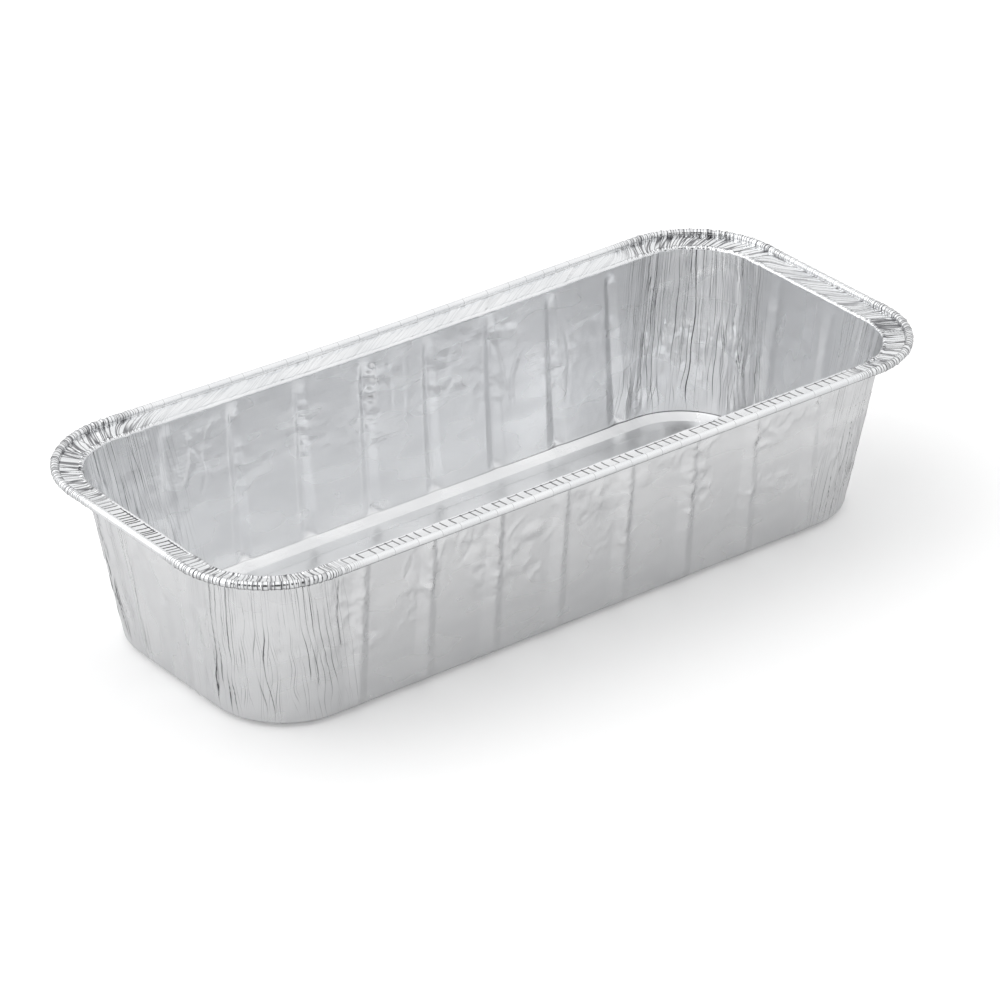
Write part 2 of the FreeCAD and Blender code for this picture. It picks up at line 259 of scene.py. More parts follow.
def ease(value, low, high):
    """0 below low, 1 above high and a smooth rise between."""
    share = np.clip((np.asarray(value) - low) / (high - low), 0, 1)
    return share * share * (3 - 2 * share)


floor_run, wall_run, rim_run = run_of(FLOOR_ROWS), run_of(WALL_ROWS), run_of(RIM_ROWS)
wall_across = wall_run - wall_run[-1]
floor_across = floor_run - floor_run[-1] + wall_across[0]

FOOT_SOFT = 9.0
none = np.zeros_like
heights = np.array(WALL_ROWS)[:, 3]
foot_ease = ease(heights, FOOT_RISE, FOOT_RISE + FOOT_SOFT)
wall_zones = np.stack([foot_ease, none(heights), none(heights)], axis=1)
floor_zones = np.zeros((len(FLOOR_ROWS), 3))
steps = np.arange(len(RIM_ROWS))
rim_wall = 1 - ease(steps, 2, SHELF_START + 1)
rim_bead = ease(steps, BEAD_START - 1, BEAD_START + 1)
rim_zones = np.stack([rim_wall, ease(steps, 0, SHELF_START) * (1 - rim_bead), rim_bead], axis=1)
SHELF_RUN = rim_run[SHELF_START], rim_run[BEAD_START - 1]
SHELF_END = SHELF_RUN[1] - 1.0, SHELF_RUN[1]
FOOT_FOLD = wall_across[0] + gap(RING_OUT, FOOT)
# the run along the section over which the painted shade under the bead fades in
UNDER_BEAD = rim_run[BEAD_START] + (BEAD_RADIUS - FOIL) * (bead_start + UNDER_BEAD_ANGLES)
print("section, mm:", round(rim_run[-1] - floor_across[0], 1))
print("shelf, mm:", SHELF_RUN, "under the bead, mm:", UNDER_BEAD)

# %% [markdown]
# ## Fields that read like sums
# Geometry Nodes do the pressing. A formula in nodes is long to write by hand, so a small class lets a
# field be added and multiplied like a number. The same class serves the materials further down.

# %% The Field class


def add_node(tree, kind, sockets, output=0, **settings):
    """Adds a node, sets its options, plugs numbers or fields into its sockets and returns one output."""
    node = tree.nodes.new(kind)
    for option, choice in settings.items():
        setattr(node, option, choice)
    for name, value in sockets.items():
        if isinstance(value, Field):
            tree.links.new(value.socket, node.inputs[name])
        else:
            node.inputs[name].default_value = value
    return Field(node.outputs[output])


class Field:
    """One value that varies over the sheet. Each sum written with it adds a node to its tree."""

    def __init__(self, socket):
        self.socket = socket
        self.tree = socket.id_data

    def math(self, operation, *others):
        return add_node(self.tree, "ShaderNodeMath", dict(enumerate((self,) + others)), operation=operation)

    def __add__(self, other):
        return self.math("ADD", other)

    def __sub__(self, other):
        return self.math("SUBTRACT", other)

    def __mul__(self, other):
        return self.math("MULTIPLY", other)

    def __truediv__(self, other):
        return self.math("DIVIDE", other)

    def __rsub__(self, other):
        return self.math("MULTIPLY_ADD", -1.0, other)

    __radd__, __rmul__ = __add__, __mul__

    def size(self):
        return self.math("ABSOLUTE")

    def at_least(self, other):
        return self.math("MAXIMUM", other)

    def at_most(self, other):
        return self.math("MINIMUM", other)

    def ease(self, low, high):
        """0 below low, 1 above high and a smooth rise between."""
        sockets = {"Value": self, "From Min": low, "From Max": high}
        return add_node(self.tree, "ShaderNodeMapRange", sockets, interpolation_type="SMOOTHSTEP")

    def parts(self):
        """The three numbers of a vector field."""
        node = self.tree.nodes.new("ShaderNodeSeparateXYZ")
        self.tree.links.new(self.socket, node.inputs[0])
        return [Field(output) for output in node.outputs]


def vector(tree, x, y, z):
    """A vector field from three numbers or fields."""
    return add_node(tree, "ShaderNodeCombineXYZ", {0: x, 1: y, 2: z})


def vector_math(operation, one, other, output=0):
    """One operation on two vectors, the first of them a field."""
    return add_node(one.tree, "ShaderNodeVectorMath", {0: one, 1: other}, output, operation=operation)


def noise(tree, where, detail):
    """Smooth noise from about -1 to 1. The place is given in units of one noise feature."""
    value = add_node(tree, "ShaderNodeTexNoise", {"Vector": where, "Scale": 1.0, "Detail": detail})
    return (value - 0.5) * 2.0


def facets(tree, where):
    """Height over a field of crumpled facets, 0 on the valley lines and up to about 0.5 between them."""
    sockets = {"Vector": where, "Scale": 1.0}
    return add_node(tree, "ShaderNodeTexVoronoi", sockets, feature="DISTANCE_TO_EDGE")


def shingles(tree, where):
    """Cells along a line: how far a point lies from its cell's middle, and a random number for the cell."""
    node = tree.nodes.new("ShaderNodeTexVoronoi")
    node.voronoi_dimensions = "1D"
    tree.links.new(where.socket, node.inputs["W"])
    node.inputs["Scale"].default_value = 1.0
    middle, shade = Field(node.outputs["W"]), Field(node.outputs["Color"])
    return where - middle, shade.parts()[0]


print("helpers ready")

# %% [markdown]
# ## Pressing the sheet
# The tree first puts every point at its place on the die by the rule above, and then presses in what the
# real tool and the real foil leave:
# - ribs, which are rounded V's that stiffen the flat walls
# - pleats, which gather in the corners where the flat blank has too much foil
# - dents and crumples in the panels between the ribs
# - a ladder of small pads on the near half of the rim's shelf and flattened folds on the far half
# - creases across the bead
# The spare foil in a corner is real, so its pleats are real shape too. Only the finest grain and the sharp
# bottoms of the creases are left to the material.

# %% The press
PRESS_SIZES = {
    "Rib pitch": 31.0,
    "Rib depth, sides": 1.9,
    "Rib depth, ends": 1.2,
    "Rib slope, sides": 0.40,
    "Rib slope, ends": 0.24,
    "Rib crest": 0.5,
    "Rib neck": 0.65,
    "Pleat slope": 0.26,
    "Dent depth": 0.13,
    "Crumple depth": 0.42,
    "Rope depth": 0.3,
    "Shelf fold slope": 0.26,
    "Pad height": 0.16,
    "Bead crease depth": 0.16,
    "Bow": 2.0,
}
SIDE_RIBS, END_RIBS = 8, 2
AXIAL = 0.9999  # a facing this close to an axis belongs to a flat wall
PLEATS_REACH, FAR_LEFT_REACH = 17.0, 16.0  # from every corner, and the rest at the far left one


def new_press():
    """An empty tree with the named sizes as its inputs."""
    tree = bpy.data.node_groups.new("press_foil_pan", "GeometryNodeTree")
    tree.interface.new_socket("Geometry", in_out="INPUT", socket_type="NodeSocketGeometry")
    for name, value in PRESS_SIZES.items():
        socket = tree.interface.new_socket(name, in_out="INPUT", socket_type="NodeSocketFloat")
        socket.default_value = value
    tree.interface.new_socket("Material", in_out="INPUT", socket_type="NodeSocketMaterial")
    tree.interface.new_socket("Geometry", in_out="OUTPUT", socket_type="NodeSocketGeometry")
    given = tree.nodes.new("NodeGroupInput")
    return tree, {output.name: Field(output) for output in given.outputs if output.name}


def attribute(tree, name, kind="FLOAT"):
    """A stored value of the grid."""
    return add_node(tree, "GeometryNodeInputNamedAttribute", {"Name": name}, data_type=kind)


def rib_height(given, place, depth, slope, count):
    """How far a rib stands out at a distance along its wall, and the distance from the rib's crest."""
    pitch, crest = given["Rib pitch"], given["Rib crest"]
    from_rib = ((place / pitch).math("FRACT") - 0.5) * pitch
    from_crest = (from_rib * from_rib + crest * crest).math("SQRT") - crest
    inside = (pitch * (count / 2) - place.size()).math("GREATER_THAN", 0.0)
    return (depth - from_crest * slope).at_least(0.0) * inside, from_rib


tree, given = new_press()
ax, ay, _ = attribute(tree, "anchor", "FLOAT_VECTOR").parts()
fx, fy, _ = attribute(tree, "facing", "FLOAT_VECTOR").parts()
half_length, half_width, corner = attribute(tree, "level", "FLOAT_VECTOR").parts()
wall, shelf_zone, bead_zone = attribute(tree, "zone", "FLOAT_VECTOR").parts()
rise, along, across = [attribute(tree, name) for name in ("rise", "along", "across")]

reach_x, reach_y = ax * (half_length - corner), ay * (half_width - corner)
on_side = fy.size().math("GREATER_THAN", AXIAL)
on_end = fx.size().math("GREATER_THAN", AXIAL)
to_corner = (1 - ax.size()) * (half_length - corner) + (1 - ay.size()) * (half_width - corner)
far_left = (0.0 - ax).at_least(0.0) * ay.at_least(0.0)
far_corner = (ax * ay).at_least(0.0) * ay.at_least(0.0)
near_corner = 1 - to_corner.ease(0.0, far_left * FAR_LEFT_REACH + PLEATS_REACH)
print("nodes so far:", len(tree.nodes))

# %% [markdown]
# ### Ribs and bow
# A rib is a rounded V. It is deepest at the foot of its wall, narrows to a neck near the mouth and fades out
# there. The far rim bows inwards a little, as foil does once the pan has been picked up.

# %% Ribs, and the bow of the far rim
NECK_HEIGHT, HEEL_HEIGHT = MOUTH[3] - 7.0, FOOT_RISE + 1.2
FAR_STEEPER = 0.15
BOW_UPWARDS, BOW_SIDEWAYS = 2.5, 2.0
taper = (rise - HEEL_HEIGHT) / (NECK_HEIGHT - HEEL_HEIGHT)
taper = 1 - taper.at_least(0.0).at_most(1.0) * (1 - given["Rib neck"])
standing = rise.ease(FOOT_RISE * 0.5, HEEL_HEIGHT + 2.0) * (1 - rise.ease(NECK_HEIGHT, MOUTH[3]))
side_slope = given["Rib slope, sides"] * (1 + fy.at_least(0.0) * FAR_STEEPER)
side_rib, from_rib = rib_height(given, reach_x, given["Rib depth, sides"] * taper, side_slope, SIDE_RIBS)
end_slope = given["Rib slope, ends"]
end_rib, _ = rib_height(given, reach_y, given["Rib depth, ends"] * taper, end_slope, END_RIBS)
ribs = (side_rib * on_side + end_rib * on_end) * standing
far = fy.at_least(0.0) * (rise / HEIGHT).math("POWER", BOW_UPWARDS)
bow = given["Bow"] * far * (1 - ax * ax).math("POWER", BOW_SIDEWAYS)
pressed = vector(tree, reach_x + fx * (corner + ribs), reach_y + fy * (corner + ribs) - bow, rise)
print("nodes so far:", len(tree.nodes))

# %% [markdown]
# ### The unrolled sheet
# Wrinkles belong to the sheet, so their patterns are read along and across it, not in space. To close the
# pattern without a seam, the distance round the pan is wrapped on a circle of the same length. A slow sway
# keeps the pleats from standing like a picket fence, and a lean turns those of the far shelf, where the
# roller dragged the folds along. The place is stored on the mesh, so that the material can draw its
# finest creases exactly where the tree has pressed the larger ones.

# %% The unrolled sheet
CIRCLE = ROUND / (2 * math.pi)
SWAY, LEAN, LEAN_RUN, RIPPLE = 3.2, 1.7, 9.0, 0.6
SWAY_PATTERN, RIPPLE_PATTERN = (20.0, 36.0, 7.0), (3.5, 5.0, 19.0)


def wrap(tree, along, across):
    """A place on the sheet, in millimetres, with the way round the pan wrapped on a circle."""
    angle = along / CIRCLE
    return vector(tree, angle.math("COSINE") * CIRCLE, angle.math("SINE") * CIRCLE, across)


def feature(sheet, along_size, across_size, shift):
    """The same place, measured in features of the given sizes. The shift picks another pattern."""
    scale = (1 / along_size, 1 / along_size, 1 / across_size)
    return vector_math("ADD", vector_math("MULTIPLY", sheet, scale), (0.0, 0.0, shift))


near_side = (0.0 - fy).ease(0.2, 0.8).at_least((0.0 - fx).ease(0.2, 0.8))
plain = wrap(tree, along, across)
sway = noise(tree, feature(plain, *SWAY_PATTERN), 1.0) * SWAY
lean = across.at_least(0.0).at_most(LEAN_RUN) * LEAN * (1 - near_side) * (1 - near_corner * 0.7)
sheet = wrap(tree, along + sway + lean, across)
ripple = noise(tree, feature(plain, *RIPPLE_PATTERN), 0.0) * near_corner * across.ease(0.0, 3.0) * RIPPLE
travelled = along + sway * 0.2 + ripple
print("nodes so far:", len(tree.nodes))

# %% [markdown]
# ### One list of patterns
# Each kind of wrinkle is one pattern on the unrolled sheet. The press and the material both take it from
# here, which keeps shape and crease together. Each size is given along and across the sheet, and the third
# number picks another pattern.
#
# Foil that has to gather doesn't ripple like cloth. It breaks into long narrow facets, each flat and tilted
# its own way, which meet in sharp lines. A Voronoi texture gives just that: its cells are the facets, each
# cell's random colour is its tilt, and the distance to the cell's edge is the crease. The shelf's folds use
# it in space. The pleats, the pads and the bead's creases use it along one line, the way round the pan,
# because they run straight across the sheet.

# %% Patterns
MOLTEN = (3.8, 9.0, 17.0)
STRENGTH, FINE_STRENGTH = (5.0, 20.0, 3.0), (3.0, 15.0, 41.0)
CROSSING = (7.0, 15.0, 29.0)
DENTED, DENTED_PATCH = (8.0, 6.0, 13.0), (22.0, 18.0, 23.0)
CRUMPLE, ROPE_GRAIN = (7.0, 10.0, 71.0), (1.7, 2.7, 31.0)
ROPE, FAN, LUMP = (3.6, 60.0, 53.0), (1.5, 30.0, 61.0), (2.6, 3.6, 83.0)
LIP_WAVE, FLOOR_SWELL = (6.0, 50.0, 91.0), (30.0, 30.0, 5.0)
PLEAT_PITCH, FINE_PITCH, FINE_SHIFT = 2.5, 1.2, 500.0
LIP_PITCH, LADDER_PITCH = 1.8, 3.8
BEAD_PITCH, TICK_PITCH, BEAD_GAP, BEAD_GAP_SHIFT = 1.2, 3.2, 9.0, 300.0


def rungs(tree, place, pitch):
    """Lines across the sheet: how far a point lies from the nearest one, in shares of the pitch."""
    sockets = {"W": place / pitch, "Scale": 1.0}
    kind = {"voronoi_dimensions": "1D", "feature": "DISTANCE_TO_EDGE"}
    return add_node(tree, "ShaderNodeTexVoronoi", sockets, **kind)


def cut(edge_distance, reach):
    """-1 on a line and 0 beyond a reach from it."""
    return edge_distance.at_most(reach) * (1 / reach) - 1.0


def tilted(tree, sheet, along, pattern):
    """The height of a pattern's facets for a slope of 1: each facet tips its own way along the sheet."""
    where = feature(sheet, *pattern)
    cells = tree.nodes.new("ShaderNodeTexVoronoi")
    tree.links.new(where.socket, cells.inputs["Vector"])
    cells.inputs["Scale"].default_value = 1.0
    middle, shade = Field(cells.outputs["Position"]), Field(cells.outputs["Color"]).parts()[0]
    angle = along / CIRCLE
    onwards = vector(tree, 0.0 - angle.math("SINE"), angle.math("COSINE"), 0.0)
    ahead = vector_math("DOT_PRODUCT", vector_math("SUBTRACT", where, middle), onwards, "Value")
    return ahead * (shade - 0.5) * (2.0 * pattern[0])


def pleats(tree, place, pitch):
    """The height of pleats across a line for a slope of 1: each one tips its own way."""
    offset, shade = shingles(tree, place / pitch)
    return offset * (shade - 0.5) * (2.0 * pitch)


# %% Pleats of the walls
PLEATS_START, UNDER_RIM = (-71.0, -58.0), (-26.0, -6.0)
CROSSING_STOP, MELTED_STOP = (-50.0, -15.0), (-36.0, -18.0)

far_half_of_walls = ay.at_least(0.0)
pleated = near_corner * across.ease(*PLEATS_START)
pleated = pleated * (1 + far_half_of_walls * 0.5)
strength = noise(tree, feature(sheet, *STRENGTH), 0.0).ease(-0.4, 0.5) * pleated
under_rim = across.ease(*UNDER_RIM) * 0.45
fine_strength = noise(tree, feature(sheet, *FINE_STRENGTH), 0.0).ease(-0.3, 0.5)
fine_strength = (fine_strength + under_rim).at_most(1.0) * pleated
crossing = noise(tree, feature(plain, *CROSSING), 0.0) * (1 - across.ease(*CROSSING_STOP)) * 1.5
broad_place = along + sway - crossing
fine_place = along + FINE_SHIFT - sway * 0.5 + crossing * 1.4
broad = pleats(tree, broad_place, PLEAT_PITCH) * (strength * 0.8 + pleated * 0.2)
fine = pleats(tree, fine_place, FINE_PITCH) * (fine_strength * 0.7 + pleated * 0.3)
melted = noise(tree, feature(sheet, *MOLTEN), 1.0) * (1 - across.ease(*MELTED_STOP)) * near_corner
melted = melted * (0.42 + far_half_of_walls * 0.3)
gather = (broad + fine) * given["Pleat slope"] + melted
print("nodes so far:", len(tree.nodes))

# %% Dents, crumples and twisted ribs
DENTS_START, DENTS_STOP = (-54.0, -30.0), (-9.0, -2.0)
CRUMPLE_SHARPNESS, TWIST_LEAN = 4.5, 0.7

dented = across.ease(*DENTS_START) * (1 - across.ease(*DENTS_STOP)) * (1 - near_corner * 0.6)
patch = noise(tree, feature(plain, *DENTED_PATCH), 0.0).ease(-0.25, 0.2)
dents = noise(tree, feature(plain, *DENTED), 1.0) * given["Dent depth"] * (dented * patch * 3.2 + 0.6)
crumpled = noise(tree, feature(sheet, *CRUMPLE), 1.0).size() * CRUMPLE_SHARPNESS
crumples = (1 - crumpled).at_least(0.0) * given["Crumple depth"] * dented * patch
crumples = crumples * (near_side * 0.85 + 0.15)
on_rib = (1 - (from_rib - 0.6).size().ease(1.0, 3.4)) * on_side * dented
slanted = wrap(tree, along + across * TWIST_LEAN, across)
rope_grain = noise(tree, feature(slanted, *ROPE_GRAIN), 0.0)
twist = rope_grain.size() * given["Rope depth"] * on_rib * (patch + near_side * 0.6) * 2.2
print("nodes so far:", len(tree.nodes))

# %% [markdown]
# ### Creases and dents of this one pan
# A pan that has been handled has a few marks of its own. Each crease is a curve up a wall, given by where
# it starts, how far it leans and bends, how wide and deep it is and how much painted shade lies along it.
# Each dent is a shallow oval. Their places are along X in the long walls, and up from the table.

# %% Creases and dents, listed one by one
CREASES = [
    # wall, x, low, high, lean, bend, half width, depth, painted shade
    ("near", -115.5, 29.0, 66.0, -3.0, -1.5, 0.8, -0.50, 0.8),
    ("near", -113.5, 24.0, 36.0, 1.5, 3.0, 0.7, -0.30, 0.3),
    ("near", -116.5, 20.0, 31.0, -1.5, 2.0, 0.8, -0.30, 0.3),
    ("near", -90.0, 50.0, 66.0, 1.0, 4.0, 1.1, -0.30, 0.1),
    ("near", -86.5, 46.0, 64.0, 2.5, -4.0, 1.1, 0.25, 0.1),
    ("near", -75.5, 36.0, 67.0, 1.0, 1.5, 1.0, -0.40, 0.2),
    ("near", -72.5, 40.0, 66.0, 2.5, -2.0, 1.2, 0.35, 0.15),
    ("near", -64.0, 48.0, 66.0, 3.0, 5.0, 1.3, -0.35, 0.1),
    ("near", -57.0, 45.0, 64.0, -2.0, -6.0, 1.4, 0.35, 0.1),
    ("near", -35.0, 44.0, 60.0, 4.0, -8.0, 1.5, 0.50, 0.1),
    ("near", -24.0, 44.0, 62.0, 3.5, 5.0, 1.3, 0.40, 0.1),
    ("near", -6.0, 46.0, 61.0, 5.0, 6.0, 1.6, 0.35, 0.0),
    ("near", 8.0, 48.0, 60.0, -5.0, -5.0, 1.6, 0.35, 0.0),
    ("far", -103.0, 40.0, 64.0, 4.0, 3.0, 1.2, 0.40, 0.1),
    ("far", -95.0, 36.0, 60.0, -5.0, 5.0, 1.3, -0.35, 0.1),
    ("far", -89.0, 42.0, 66.0, 3.0, -4.0, 1.2, 0.35, 0.1),
    ("far", -12.0, 44.0, 67.0, 0.8, 0.5, 0.9, -0.40, 0.3),
    ("far", -4.0, 40.0, 66.0, -0.8, 0.8, 0.9, -0.35, 0.3),
    ("far", 3.0, 36.0, 66.0, 0.6, 1.5, 1.0, 0.30, 0.1),
    ("far", 52.0, 30.0, 62.0, -7.0, 3.0, 1.1, -0.35, 0.1),
    ("far", 57.0, 26.0, 50.0, 5.0, -3.0, 1.2, 0.35, 0.1),
    ("far", 82.0, 18.0, 52.0, 2.0, 2.5, 1.1, 0.30, 0.0),
]
DENTS = [
    # wall, x, height, half length, half height, depth
    ("far", -12.4, 64.0, 2.2, 2.4, -0.7),
    ("far", -12.2, 57.5, 2.2, 2.4, -0.7),
    ("far", -12.0, 51.0, 2.2, 2.4, -0.7),
    ("far", -11.5, 44.0, 3.0, 2.6, -0.5),
    ("near", -28.0, 51.0, 5.0, 4.5, 0.5),
    ("near", 2.0, 54.0, 7.0, 5.0, 0.4),
    ("near", 24.0, 56.0, 4.0, 5.0, 0.4),
]


def crease(wall_share, x, low, high, lean, bend, width, depth):
    """The height of one crease, and how near a point is to its line."""
    share = (rise - low) / (high - low)
    line = reach_x - share * lean - share * (1 - share) * (4 * bend) - x
    shown = share.ease(-0.05, 0.15) * (1 - share.ease(0.8, 1.05)) * wall_share
    fold = (1 - line.size() / width).at_least(0.0) * shown
    return fold * depth, fold


def dent(wall_share, x, height, half_length, half_height, depth):
    """The height of one oval dent."""
    aside, above = (reach_x - x) / half_length, (rise - height) / half_height
    return (1 - aside * aside - above * above).at_least(0.0) * wall_share * depth


walls_by_name = {"near": on_side * fy.at_most(0.0).size(), "far": on_side * fy.at_least(0.0)}
mark_heights, mark_painted_shade = [], []
# the last number of each crease is the strength of the painted shade along its line
for name, *shape_of_crease, painted_shade_share in CREASES:
    height, fold = crease(walls_by_name[name], *shape_of_crease)
    mark_heights.append(height)
    mark_painted_shade.append(fold * painted_shade_share)
for name, *shape_of_dent in DENTS:
    mark_heights.append(dent(walls_by_name[name], *shape_of_dent))
marks, mark_painted_shade = sum(mark_heights), sum(mark_painted_shade)

LIP_WAVE_START, LIP_WAVE_HEIGHT = -6.0, 0.35
lip_wave = noise(tree, feature(plain, *LIP_WAVE), 1.0) * across.ease(LIP_WAVE_START, 0.0) * LIP_WAVE_HEIGHT
wall_wrinkle = (gather + dents + crumples + twist + marks + lip_wave) * wall
print("nodes so far:", len(tree.nodes))

# %% [markdown]
# ### The rim
# The roller that turns the bead leaves marks of its own: a ladder of small pads on the near half of the
# shelf, and folds that it dragged along on the far half. The bead is creased where the foil had to gather.

# %% Folds of the shelf and creases of the bead
left_end = (0.0 - fx).ease(0.5, 1.0)
right_end = fx.ease(0.4, 0.9)
rung_place = travelled * (1 + left_end * 0.75)
pads = rungs(tree, rung_place, LADDER_PITCH).ease(0.0, 0.14) * given["Pad height"]
pads = pads * across.ease(SHELF_RUN[0] + 0.4, SHELF_RUN[0] + 1.4) * (1 - across.ease(*SHELF_END))
rope = tilted(tree, sheet, along, ROPE) * 0.6
lumps = noise(tree, feature(sheet, *LUMP), 0.0) * (1 - right_end)
fans = tilted(tree, sheet, along, FAN) + pleats(tree, broad_place, PLEAT_PITCH) * 0.5
loose_folds = (rope + lumps * 2.6 + fans * 0.2) * (0.5 + right_end * 0.5)
loose_folds = loose_folds * (1 - near_side) * (1 - near_corner)
loose_folds = loose_folds + fans * near_corner
gathered = near_corner.at_least(right_end * 0.7)
lip_zone = across.ease(0.0, 0.8) * (1 - across.ease(1.6, 2.6))
crinkle = pleats(tree, travelled, LIP_PITCH) * lip_zone * gathered * 0.5
shelf_wrinkle = loose_folds * given["Shelf fold slope"] + pads * near_side * (1 - near_corner) + crinkle
creases = cut(rungs(tree, travelled, BEAD_PITCH), 0.25)
rare = cut(rungs(tree, travelled + BEAD_GAP_SHIFT, BEAD_GAP), 0.05)
ticks = cut(rungs(tree, travelled, TICK_PITCH), 0.25)
bead_creases = creases * gathered + rare * (1 - gathered) * 0.3 + fans * near_corner * 1.2
bead_creases = bead_creases + ticks * gathered * (1 - near_side) * 1.5
bead_wrinkle = bead_creases * given["Bead crease depth"]
print("nodes so far:", len(tree.nodes))

# %% The last steps of the press
SWELL_HEIGHT, SWELL_STOP, MERGE_DISTANCE = 0.12, (-86.0, -80.0), 0.001

normal = Field(tree.nodes.new("GeometryNodeInputNormal").outputs[0])
rim_wrinkle = shelf_wrinkle * shelf_zone + bead_wrinkle * bead_zone
along_normal = add_node(tree, "ShaderNodeVectorMath", {0: normal, "Scale": rim_wrinkle}, operation="SCALE")
swell = noise(tree, feature(plain, *FLOOR_SWELL), 1.0) * SWELL_HEIGHT * (1 - across.ease(*SWELL_STOP))
outwards = vector(tree, fx * wall_wrinkle, fy * wall_wrinkle, swell)
wrinkle = vector_math("ADD", outwards, along_normal)

kept = {
    "sheet": sheet,
    "masks": vector(tree, near_corner, near_side, bead_zone),
    # the third number of ends carries the painted shade along the listed creases
    "ends": vector(tree, left_end, gathered, mark_painted_shade),
    "line_places": vector(tree, travelled, rung_place, 0.0),
    "pleat_places": vector(tree, broad_place, fine_place, 0.0),
    "pleat_strengths": vector(tree, strength, fine_strength, far_corner),
}
kind = {"data_type": "FLOAT_VECTOR", "domain": "POINT"}
shape = given["Geometry"]
for name, value in kept.items():
    sockets = {"Geometry": shape, "Name": name, "Value": value}
    shape = add_node(tree, "GeometryNodeStoreNamedAttribute", sockets, **kind)
shape = add_node(tree, "GeometryNodeSetPosition", {"Geometry": shape, "Position": pressed})
shape = add_node(tree, "GeometryNodeMergeByDistance", {"Geometry": shape, "Distance": MERGE_DISTANCE})
shape = add_node(tree, "GeometryNodeSetPosition", {"Geometry": shape, "Offset": wrinkle})
shape = add_node(tree, "GeometryNodeRealizeInstances", {"Geometry": shape})
shape = add_node(tree, "GeometryNodeSetMaterial", {"Geometry": shape, "Material": given["Material"]})
result = tree.nodes.new("NodeGroupOutput")
tree.links.new(shape.socket, result.inputs["Geometry"])
print("nodes in the press:", len(tree.nodes))

# %% [markdown]
# ## The look of the foil
# Rolled foil is bright but not a mirror. The mill's rolls leave fine lines along the sheet, which blur a
# reflection, and handling leaves soft scuffs. All three finishes share that as one node group, read in the
# flat blank. The sharp bottom of each crease is narrower than the mesh, so the walls and the rim add it in
# their own material: it dips the surface, and painted shade darkens its colour in place of the light that is
# mirrored many times inside a crease and hardly comes out. The same painted shade lies along the fold at the
# foot of the walls, in the valley before the bead and on the bead's underside.

# %% The foil's skin


def new_skin():
    """A node group: rolling lines, fine wrinkles and a mask of scuffs."""
    group = bpy.data.node_groups.new("foil_skin", "ShaderNodeTree")
    for label, value in (("Line spacing", 0.8), ("Wrinkle size", 3.0)):
        socket = group.interface.new_socket(label, in_out="INPUT", socket_type="NodeSocketFloat")
        socket.default_value = value
    for label in ("Lines", "Wrinkles", "Scuffs"):
        group.interface.new_socket(label, in_out="OUTPUT", socket_type="NodeSocketFloat")
    entry = group.nodes.new("NodeGroupInput")
    spacing, size = Field(entry.outputs["Line spacing"]), Field(entry.outputs["Wrinkle size"])
    u, v, _ = add_node(group, "ShaderNodeUVMap", {}, uv_map="Blank").parts()
    blank_x, blank_y = u * UV_SIZE, v * UV_SIZE
    lines = noise(group, vector(group, blank_x / 55.0, blank_y / spacing, 0.0), 1.0)
    wrinkles = noise(group, vector(group, blank_x / size, blank_y / size, 4.0), 1.0)
    scuffs = noise(group, vector(group, blank_x / 26.0, blank_y / 12.0, 9.0), 1.0).ease(-0.4, 0.5)
    results = group.nodes.new("NodeGroupOutput")
    for label, value in (("Lines", lines), ("Wrinkles", wrinkles), ("Scuffs", scuffs)):
        group.links.new(value.socket, results.inputs[label])
    return group


FOIL_SKIN = new_skin()
print("skin nodes:", len(FOIL_SKIN.nodes))

# %% The sharp creases
CREASE_HEIGHT = -0.1
BROAD_WIDTH, FINE_WIDTH, FOOT_WIDTH = 0.10, 0.16, 0.45
PAD_WIDTH, PAD_TOP_WIDTH, VALLEY_WIDTH = 0.145, 0.45, 0.3
ROPE_WIDTH, FAN_WIDTH, LIP_WIDTH = 0.1, 0.13, 0.12
CROWDED_WIDTH, RARE_WIDTH, TICK_WIDTH = 0.14, 0.025, 0.13
PAD_START = np.array([-0.5, -0.2])


def groove(edge_distance, width):
    """1 on the line between two facets and 0 beyond a width from it."""
    return 1 - edge_distance.ease(0.0, width)


def stored(nodes, name):
    """Three values that the press stored on the sheet."""
    return add_node(nodes, "ShaderNodeAttribute", {}, output="Vector", attribute_name=name)


def wall_creases(nodes):
    """The height of the creases in the walls, in millimetres, and the painted shade along them and the foot
    fold.
    """
    broad_place, fine_place, _ = stored(nodes, "pleat_places").parts()
    strength, fine_strength, far_corner = stored(nodes, "pleat_strengths").parts()
    mark_painted_shade = stored(nodes, "ends").parts()[2]
    _, broad_shade = shingles(nodes, broad_place / PLEAT_PITCH)
    _, fine_shade = shingles(nodes, fine_place / FINE_PITCH)
    broad = groove(rungs(nodes, broad_place, PLEAT_PITCH), BROAD_WIDTH)
    broad = broad * strength * broad_shade.ease(0.1, 0.8)
    fine = groove(rungs(nodes, fine_place, FINE_PITCH), FINE_WIDTH)
    fine = fine * fine_strength * fine_shade.ease(0.2, 0.9)
    # the pleat lines dip the surface and carry painted shade as well
    lines = broad * 1.1 + fine * 0.7
    across = stored(nodes, "sheet").parts()[2]
    # painted shade along the fold at the foot of the walls, stronger in the far corner
    foot_painted_shade = groove((across - FOOT_FOLD).size(), FOOT_WIDTH)
    dark = lines + mark_painted_shade.ease(0.25, 1.0) + foot_painted_shade * (far_corner * 0.8 + 0.2)
    return lines * CREASE_HEIGHT, dark.at_most(1.0)


